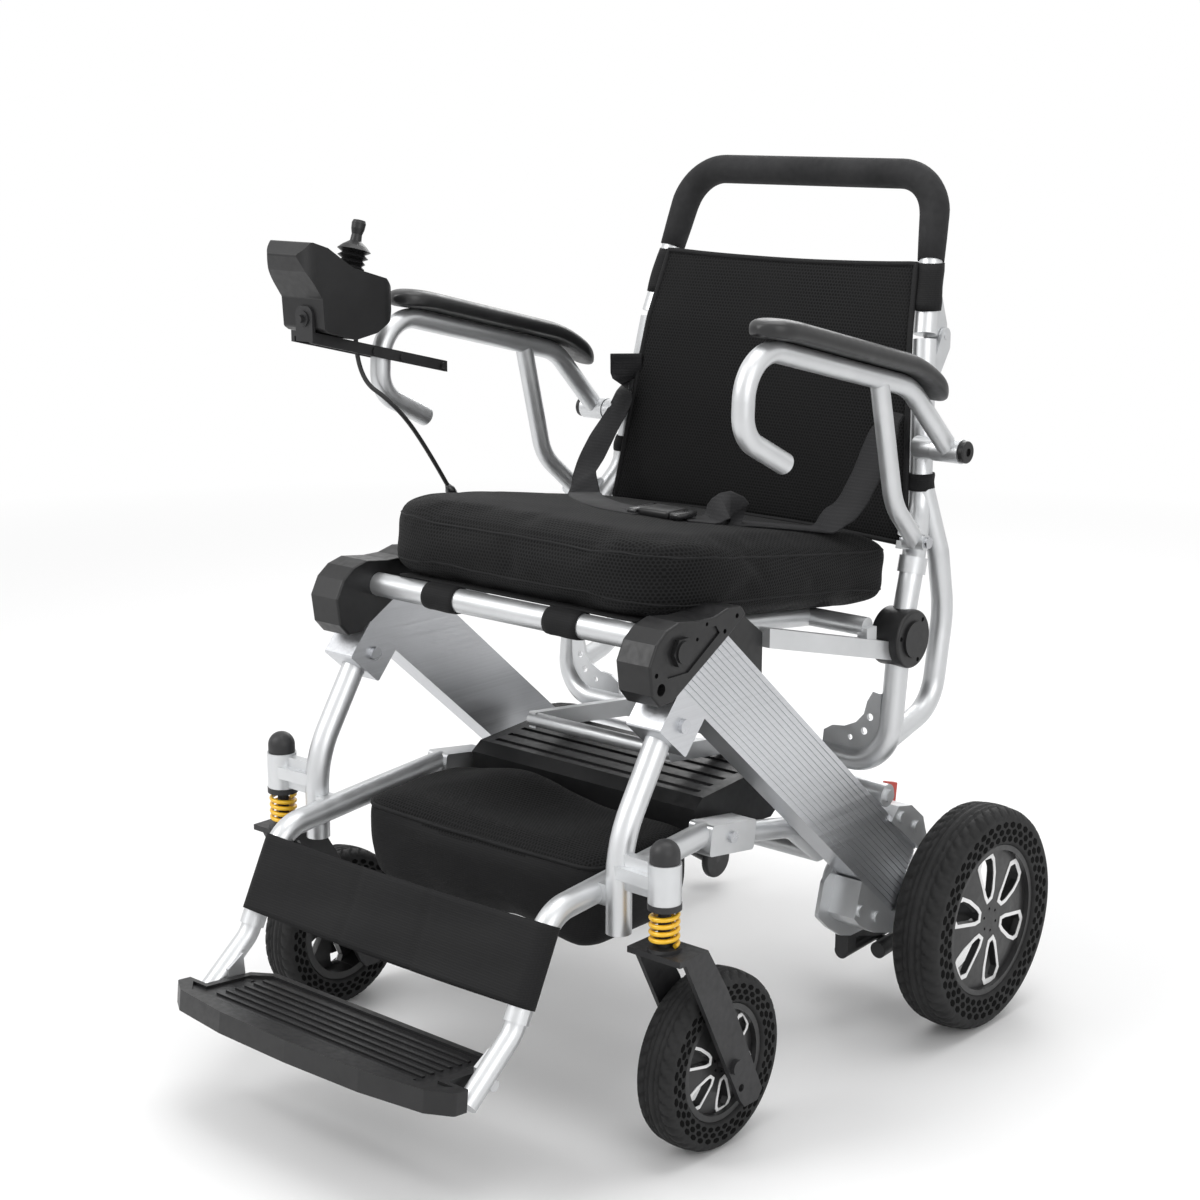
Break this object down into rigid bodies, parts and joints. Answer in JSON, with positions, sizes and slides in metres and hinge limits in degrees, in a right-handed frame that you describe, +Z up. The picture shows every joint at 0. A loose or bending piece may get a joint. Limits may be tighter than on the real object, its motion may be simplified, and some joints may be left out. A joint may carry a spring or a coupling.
{
  "type": "folding power wheelchair",
  "caption": "Folding power wheelchair: slanted ribbed alloy side beams, sprung front casters, motor rear wheels, flip-up armrests, joystick, cushion and footplate.",
  "frame": {"origin": "on the floor, at the middle of the chair's length and width, under the chair", "axes": "+Z up, -Y the way the user faces, +X the user's left"},
  "size_m": [0.668, 0.9056, 0.9355],
  "materials": {
    "silver_frame": "satin",
    "ribbed_alloy": "satin",
    "steel": "satin",
    "black_plastic": "matte",
    "pad": "matte",
    "foam": "matte",
    "mesh_fabric": "matte",
    "webbing": "matte",
    "tyre_rubber": "matte",
    "rim_black": "satin",
    "spring_yellow": "gloss",
    "fork_black": "satin",
    "lever_red": "gloss",
    "motor_case": "satin",
    "cable": "matte"
  },
  "bodies": {
    "chassis": {"beam_left": "ribbed_alloy", "beam_right": "ribbed_alloy", "leg_left": "silver_frame", "leg_right": "silver_frame", "housing_left": "black_plastic", "housing_right": "black_plastic", "seat_frame": "silver_frame", "seat_sling": "mesh_fabric", "cushion": "mesh_fabric", "lap_belt": "webbing", "axle_frame": "silver_frame", "motor_left": "motor_case", "motor_right": "motor_case", "battery_box": "black_plastic", "lower_rails": "silver_frame", "calf_strap": "mesh_fabric", "storage_bag": "mesh_fabric", "back_lower": "silver_frame", "back_fabric_lower": "mesh_fabric", "disc_hinges": "black_plastic", "pivot_caps": "black_plastic", "frame_bolts": "steel", "link_bars": "silver_frame"},
    "upper_back": {"back_upper": "silver_frame", "foam_grip": "foam", "back_fabric_upper": "mesh_fabric"},
    "armrest_left": {"arm_frame_left": "silver_frame", "arm_pad_left": "pad"},
    "armrest_right": {"arm_frame_right": "silver_frame", "arm_pad_right": "pad", "pod_bracket": "fork_black", "joystick_lead": "cable", "pod": "black_plastic"},
    "latch_left": {"arm_pin_left": "steel"},
    "latch_right": {"arm_pin_right": "steel"},
    "caster_swivel_left": {"caster_stem_left": "fork_black", "caster_spring_left": "spring_yellow"},
    "caster_swivel_right": {"caster_stem_right": "fork_black", "caster_spring_right": "spring_yellow"},
    "caster_fork_body_left": {"caster_fork_left": "fork_black"},
    "caster_fork_body_right": {"caster_fork_right": "fork_black"},
    "front_wheel_left": {"front_tyre_left": "tyre_rubber", "front_rim_left": "rim_black"},
    "front_wheel_right": {"front_tyre_right": "tyre_rubber", "front_rim_right": "rim_black"},
    "rear_wheel_left": {"rear_tyre_left": "tyre_rubber", "rear_rim_left": "rim_black"},
    "rear_wheel_right": {"rear_tyre_right": "tyre_rubber", "rear_rim_right": "rim_black"},
    "roller_left": {"anti_tip_roller_left": "black_plastic"},
    "roller_right": {"anti_tip_roller_right": "black_plastic"},
    "footrest_carrier": {"lower_hangers": "silver_frame"},
    "footplate_body": {"footplate": "black_plastic"},
    "lever_left": {"freewheel_lever_left": "lever_red"},
    "lever_right": {"freewheel_lever_right": "lever_red"},
    "gimbal_body": {"gimbal": "steel"},
    "joystick": {"stick": "black_plastic"},
    "power_key": {"power_button": "black_plastic"},
    "horn_key": {"horn_button": "black_plastic"},
    "speed_key": {"speed_button": "black_plastic"}
  },
  "joints": [
    {"name": "back_fold", "type": "hinge", "parent": "chassis", "child": "upper_back", "pos_m": [0, 0.34275, 0.748], "axis": [-1, 0, 0], "range_deg": [0, 110]},
    {"name": "armrest_left_lift", "type": "hinge", "parent": "chassis", "child": "armrest_left", "pos_m": [0.246, 0.28275, 0.634], "axis": [-1, 0, 0], "range_deg": [0, 100]},
    {"name": "latch_pin_left_pull", "type": "slide", "parent": "armrest_left", "child": "latch_left", "axis": [1, 0, 0], "range_m": [0, 0.006], "stiffness_N_per_m": 800, "springref_m": -0.004},
    {"name": "caster_left_swivel", "type": "hinge", "parent": "chassis", "child": "caster_swivel_left", "pos_m": [0.268, -0.21425, 0.29], "axis": [0, 0, 1], "continuous": true},
    {"name": "suspension_left", "type": "slide", "parent": "caster_swivel_left", "child": "caster_fork_body_left", "axis": [0, 0, 1], "range_m": [0, 0.012], "stiffness_N_per_m": 20000, "springref_m": -0.006, "deforming": ["caster_spring_left"]},
    {"name": "front_wheel_left_spin", "type": "hinge", "parent": "caster_fork_body_left", "child": "front_wheel_left", "pos_m": [0.268, -0.14425, 0.09], "axis": [1, 0, 0], "continuous": true},
    {"name": "rear_wheel_left_spin", "type": "hinge", "parent": "chassis", "child": "rear_wheel_left", "pos_m": [0.306, 0.27575, 0.125], "axis": [1, 0, 0], "continuous": true},
    {"name": "anti_tip_left_spin", "type": "hinge", "parent": "chassis", "child": "roller_left", "pos_m": [0.1688, 0.42775, 0.038], "axis": [1, 0, 0], "continuous": true},
    {"name": "freewheel_left", "type": "hinge", "parent": "chassis", "child": "lever_left", "pos_m": [0.1875, 0.27575, 0.165], "axis": [-1, 0, 0], "range_deg": [0, 30]},
    {"name": "armrest_right_lift", "type": "hinge", "parent": "chassis", "child": "armrest_right", "pos_m": [-0.246, 0.28275, 0.634], "axis": [-1, 0, 0], "range_deg": [0, 100]},
    {"name": "latch_pin_right_pull", "type": "slide", "parent": "armrest_right", "child": "latch_right", "axis": [-1, 0, 0], "range_m": [0, 0.006], "stiffness_N_per_m": 800, "springref_m": -0.004},
    {"name": "caster_right_swivel", "type": "hinge", "parent": "chassis", "child": "caster_swivel_right", "pos_m": [-0.268, -0.21425, 0.29], "axis": [0, 0, 1], "continuous": true},
    {"name": "suspension_right", "type": "slide", "parent": "caster_swivel_right", "child": "caster_fork_body_right", "axis": [0, 0, 1], "range_m": [0, 0.012], "stiffness_N_per_m": 20000, "springref_m": -0.006, "deforming": ["caster_spring_right"]},
    {"name": "front_wheel_right_spin", "type": "hinge", "parent": "caster_fork_body_right", "child": "front_wheel_right", "pos_m": [-0.268, -0.14425, 0.09], "axis": [1, 0, 0], "continuous": true},
    {"name": "rear_wheel_right_spin", "type": "hinge", "parent": "chassis", "child": "rear_wheel_right", "pos_m": [-0.306, 0.27575, 0.125], "axis": [1, 0, 0], "continuous": true},
    {"name": "anti_tip_right_spin", "type": "hinge", "parent": "chassis", "child": "roller_right", "pos_m": [-0.1688, 0.42775, 0.038], "axis": [1, 0, 0], "continuous": true},
    {"name": "freewheel_right", "type": "hinge", "parent": "chassis", "child": "lever_right", "pos_m": [-0.1875, 0.27575, 0.165], "axis": [-1, 0, 0], "range_deg": [0, 30]},
    {"name": "footrest_height", "type": "slide", "parent": "chassis", "child": "footrest_carrier", "axis": [0, -0.4434, -0.8963], "range_m": [0, 0.04]},
    {"name": "footplate_flip", "type": "hinge", "parent": "footrest_carrier", "child": "footplate_body", "pos_m": [0, -0.36025, 0.112], "axis": [-1, 0, 0], "range_deg": [0, 52]},
    {"name": "stick_fore_aft", "type": "hinge", "parent": "armrest_right", "child": "gimbal_body", "pos_m": [-0.246, -0.12046, 0.81231], "axis": [1, 0, 0], "range_deg": [-18, 18], "stiffness_Nm_per_rad": 0.25},
    {"name": "stick_left_right", "type": "hinge", "parent": "gimbal_body", "child": "joystick", "pos_m": [-0.246, -0.12046, 0.81231], "axis": [0, 0.9613, -0.2756], "range_deg": [-18, 18], "stiffness_Nm_per_rad": 0.25},
    {"name": "power_press", "type": "slide", "parent": "armrest_right", "child": "power_key", "axis": [0, -0.5408, -0.8412], "range_m": [0, 0.0015], "stiffness_N_per_m": 500, "springref_m": -0.0008},
    {"name": "horn_press", "type": "slide", "parent": "armrest_right", "child": "horn_key", "axis": [0, -0.5408, -0.8412], "range_m": [0, 0.0015], "stiffness_N_per_m": 500, "springref_m": -0.0008},
    {"name": "speed_press", "type": "slide", "parent": "armrest_right", "child": "speed_key", "axis": [0, -0.5408, -0.8412], "range_m": [0, 0.0015], "stiffness_N_per_m": 500, "springref_m": -0.0008}
  ]
}
